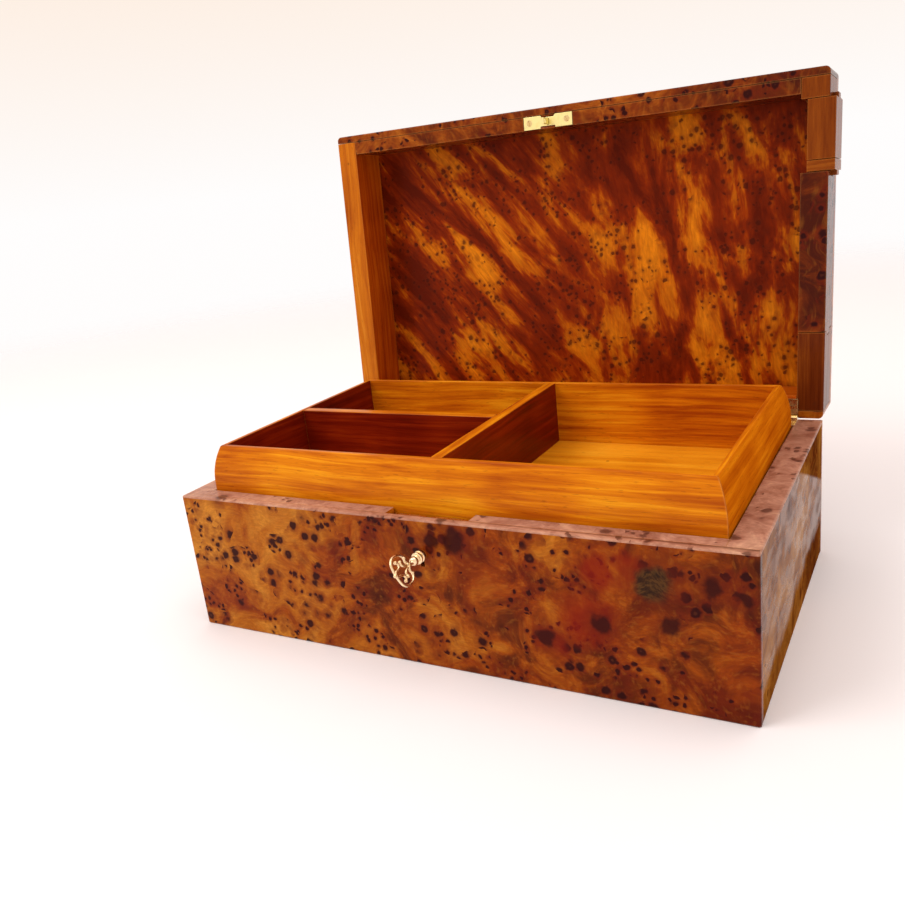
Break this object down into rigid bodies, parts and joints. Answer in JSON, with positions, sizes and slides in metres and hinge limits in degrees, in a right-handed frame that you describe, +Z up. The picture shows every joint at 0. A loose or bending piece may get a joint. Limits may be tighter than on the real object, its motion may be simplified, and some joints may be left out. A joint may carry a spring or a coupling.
{
  "type": "wooden puzzle box",
  "caption": "Burl-wood jewellery puzzle box: locking base with key, hinged lid with secret sliding pieces in its right wall, and a lift-out divided tray.",
  "frame": {"origin": "middle of the base's underside", "axes": "+Z up, +X along the box's width to the right as seen from the front, -Y towards the user; the lid is stored standing open"},
  "size_m": [0.303, 0.2506, 0.2557],
  "materials": {
    "burl_wood": "glossy lacquer",
    "dark_burl_wood": "glossy lacquer",
    "plain_wood": "satin lacquer",
    "tray_wood": "satin lacquer",
    "brass": "polished"
  },
  "bodies": {
    "base": {"base_front_facing": "burl_wood", "base_front_wall": "plain_wood", "base_back_facing": "burl_wood", "base_back_wall": "plain_wood", "base_left_wall": "burl_wood", "base_right_wall": "burl_wood", "base_bottom_panel": "plain_wood", "left_tray_ledge": "plain_wood", "right_tray_ledge": "plain_wood", "lock_case": "brass", "lock_drill_pin": "brass", "left_lock_screw": "brass", "right_lock_screw": "brass", "left_hinge_base_leaf": "brass", "left_hinge_pin": "brass", "left_hinge_base_screw_outer": "brass", "left_hinge_base_screw_inner": "brass", "right_hinge_base_leaf": "brass", "right_hinge_pin": "brass", "right_hinge_base_screw_outer": "brass", "right_hinge_base_screw_inner": "brass"},
    "lid": {"lid_top_panel": "burl_wood", "lid_front_facing": "burl_wood", "lid_front_wall": "burl_wood", "lid_back_facing": "burl_wood", "lid_back_wall": "plain_wood", "lid_left_wall": "plain_wood", "lid_right_front_post": "plain_wood", "lid_right_rear_block": "plain_wood", "catch_plate": "brass", "catch_hook": "brass", "left_catch_screw": "brass", "right_catch_screw": "brass", "left_hinge_lid_leaf": "brass", "left_hinge_lid_screw_outer": "brass", "left_hinge_lid_screw_inner": "brass", "right_hinge_lid_leaf": "brass", "right_hinge_lid_screw_outer": "brass", "right_hinge_lid_screw_inner": "brass"},
    "tray": {"tray_front_wall": "tray_wood", "tray_right_wall": "tray_wood", "tray_back_wall": "tray_wood", "tray_left_wall": "tray_wood", "tray_bottom": "tray_wood", "tray_long_divider": "tray_wood", "tray_cross_divider": "tray_wood"},
    "key": {"key": "brass"},
    "bolt": {"lock_bolt": "brass"},
    "release_block": {"release_block": "plain_wood", "release_block_band": "plain_wood"},
    "key_drawer": {"key_drawer": "dark_burl_wood"}
  },
  "joints": [
    {"name": "lid_hinge", "type": "hinge", "parent": "base", "child": "lid", "pos_m": [0, 0.0899, 0.07665], "axis": [1, 0, 0], "range_deg": [0, 93.5]},
    {"name": "tray_lift", "type": "slide", "parent": "base", "child": "tray", "axis": [0, 0, 1], "range_m": [0, 0.12]},
    {"name": "key_turn", "type": "hinge", "parent": "base", "child": "key", "pos_m": [-0.0013, -0.0895, 0.0589], "axis": [0, 1, 0], "range_deg": [0, 119]},
    {"name": "bolt_throw", "type": "slide", "parent": "base", "child": "bolt", "axis": [-1, 0, 0], "range_m": [0, 0.004]},
    {"name": "release_block_slide", "type": "slide", "parent": "lid", "child": "release_block", "axis": [1, 0, 0], "range_m": [-0.003, 0.01]},
    {"name": "key_drawer_slide", "type": "slide", "parent": "lid", "child": "key_drawer", "axis": [1, 0, 0], "range_m": [0, 0.011]}
  ],
  "couplings": [
    {"joint": "key_turn", "follows": "bolt_throw", "rad_per_m": 519.2}
  ]
}
